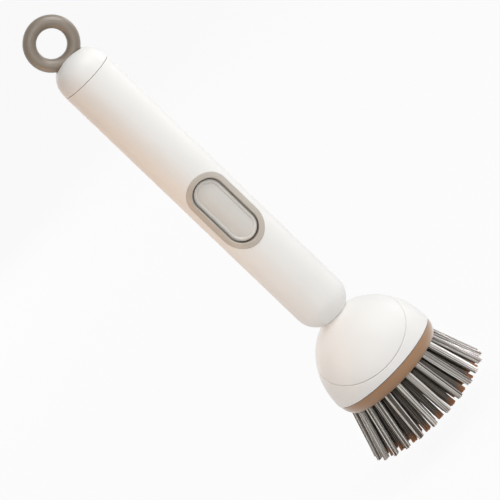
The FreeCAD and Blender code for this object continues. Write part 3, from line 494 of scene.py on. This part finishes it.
def bristle_ring(node, shade_range, tip_glow, bundle_share, rng, material):
    """Every filament of one ring of tufts, as thin tubes trimmed level at the tips."""
    verts, faces, shades, tip_glows = [], [], [], []
    turns = [2 * math.pi * n / FILAMENT_SIDES for n in range(FILAMENT_SIDES)]
    section = np.array([(math.cos(t), math.sin(t)) for t in turns]) * FILAMENT_RADIUS
    steps = np.linspace(0, 1, FILAMENT_STEPS)
    for foot, tip, foot_radius, tip_radius in tuft_ends(node):
        axis = (tip - foot) / np.linalg.norm(tip - foot)
        side = np.cross(axis, (0, 0, 1.0))
        side = side / np.linalg.norm(side)
        other = np.cross(axis, side)
        twist = rng.uniform(0, 2 * math.pi)
        for u, v in filament_places():
            u, v = u * math.cos(twist) - v * math.sin(twist), u * math.sin(twist) + v * math.cos(twist)
            start = foot + (side * u + other * v) * (foot_radius * bundle_share - FILAMENT_RADIUS)
            stray = rng.normal(0, FILAMENT_STRAY, 2)
            reach = tip_radius * bundle_share - FILAMENT_RADIUS
            way = tip + side * (u * reach + stray[0]) + other * (v * reach + stray[1]) - start
            end = start + way * ((start[2] - rng.uniform(*FILAMENT_TRIM)) / -way[2])
            bow = (side * rng.normal() + other * rng.normal()) * FILAMENT_BOW
            darkest, palest = shade_range
            shade = darkest + (palest - darkest) * rng.beta(SHADE_CONTRAST, SHADE_CONTRAST)
            base = len(verts)
            for step in steps:
                centre = start + (end - start) * step + bow * math.sin(math.pi * step)
                verts.extend(centre + side * a + other * b for a, b in section)
                shades.extend([shade] * FILAMENT_SIDES)
                # The painted glow grows over the last part of each filament
                warm = tip_glow * max(0.0, step - TIP_GLOW_START_SHARE) / (1 - TIP_GLOW_START_SHARE)
                tip_glows.extend([warm] * FILAMENT_SIDES)
            for step in range(FILAMENT_STEPS - 1):
                for n in range(FILAMENT_SIDES):
                    a = base + step * FILAMENT_SIDES + n
                    b = base + step * FILAMENT_SIDES + (n + 1) % FILAMENT_SIDES
                    faces.append((a, a + FILAMENT_SIDES, b + FILAMENT_SIDES, b))
            last = base + (FILAMENT_STEPS - 1) * FILAMENT_SIDES
            faces.append(tuple(range(base, base + FILAMENT_SIDES)))
            faces.append(tuple(range(last + FILAMENT_SIDES - 1, last - 1, -1)))
    name = node.replace("tufts", "bristles")
    piece = add_piece(name, verts, faces, "brush", "bristle_nylon", material, node)
    piece.data.set_sharp_from_angle(angle=FILAMENT_CREASE)
    for label, values in (("shade", shades), ("tip_glow", tip_glows)):
        piece.data.attributes.new(label, "FLOAT", "POINT").data.foreach_set("value", values)


def make_bristles(material):
    """The outer ring is pale, with a tone that differs at random; the rings inside it are painted dark as
    painted shade, with a warm painted glow of light at their tips.
    """
    rng = np.random.default_rng(SEED)
    for entry in frame["record"]["subparts"]:
        node = entry["node"]
        if node == "outer_tufts":
            bristle_ring(node, OUTER_SHADES, OUTER_TIP_GLOW, OUTER_BUNDLE_SHARE, rng, material)
        elif node.endswith("_tufts"):
            # Inner rings: painted shade in their dark filaments, and a painted glow at their tips
            bristle_ring(node, INNER_PAINTED_SHADES, INNER_TIP_GLOW, INNER_BUNDLE_SHARE, rng, material)


def make_loop(material):
    """Silicone loop: a round ring, flat inside the hole, that runs into its stem and foot."""
    low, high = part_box("hang_loop")
    tube = (high.y - low.y) / 2
    mean = (high.x - low.x) / 2 - tube
    middle = high.z - mean - tube
    hole = next(m for m in frame["record"]["mounts"] if m["name"] == "hang_hole")["dims"]["r_mm"] * MM
    shape = bmesh.new()
    rings = []
    for step in range(LOOP_STEPS):
        turn = 2 * math.pi * step / LOOP_STEPS
        ring = []
        for n in range(LOOP_SIDES):
            lean = 2 * math.pi * n / LOOP_SIDES
            radius = max(mean + tube * math.cos(lean), hole)
            place = (radius * math.cos(turn), tube * math.sin(lean), middle + radius * math.sin(turn))
            ring.append(shape.verts.new(place))
        rings.append(ring)
    for ring, following in zip(rings, rings[1:] + rings[:1]):
        for n in range(LOOP_SIDES):
            m = (n + 1) % LOOP_SIDES
            shape.faces.new((ring[n], ring[m], following[m], following[n]))
    bars = [
        (LOOP_STEM_WIDTH, low.z, middle - mean),
        (LOOP_FOOT_WIDTH, low.z, low.z + LOOP_FOOT_HEIGHT),
    ]
    for width, bottom, top in bars:
        size = Matrix.Diagonal((width, LOOP_STEM_THICKNESS, top - bottom, 1))
        centre = Matrix.Translation((0, 0, (bottom + top) / 2))
        bar = bmesh.ops.create_cube(shape, size=1, matrix=centre @ size)["verts"]
        edges = list({e for v in bar for e in v.link_edges})
        bmesh.ops.bevel(
            shape, geom=edges, affect="EDGES",
            offset=LOOP_EDGE, segments=LOOP_EDGE_STEPS, profile=LOOP_EDGE_PROFILE,
        )
    bmesh.ops.recalc_face_normals(shape, faces=shape.faces)
    mesh = bpy.data.meshes.new("silicone_loop")
    shape.to_mesh(mesh)
    shape.free()
    mesh.materials.append(material)
    piece = bpy.data.objects.new("silicone_loop", mesh)
    bpy.context.scene.collection.objects.link(piece)
    remesh = piece.modifiers.new("skin", "REMESH")
    remesh.mode = "VOXEL"
    remesh.voxel_size = LOOP_VOXEL
    remesh.use_smooth_shade = True
    ease = piece.modifiers.new("ease", "SMOOTH")
    ease.factor = LOOP_EASE
    ease.iterations = LOOP_EASE_ROUNDS
    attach(piece, "cap")
    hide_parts("hang_loop")


def make_spring(material):
    """The button's return spring, a copy of the CAD node's mesh that rides on the handle."""
    coil = NODES["return_spring"].data
    verts = [tuple(v.co) for v in coil.vertices]
    faces = [tuple(p.vertices) for p in coil.polygons]
    piece = add_piece("return_coil", verts, faces, "handle", "steel", material, "return_spring")
    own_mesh(piece)


place_camera()
place_lamps()
make_world()
make_floor()
bpy.context.scene.view_settings.view_transform = "Standard"
finishes = make_finishes()
dress_nodes(finishes)
make_bristles(finishes["bristle_nylon"])
make_loop(finishes["loop_silicone"])
make_spring(finishes["steel"])
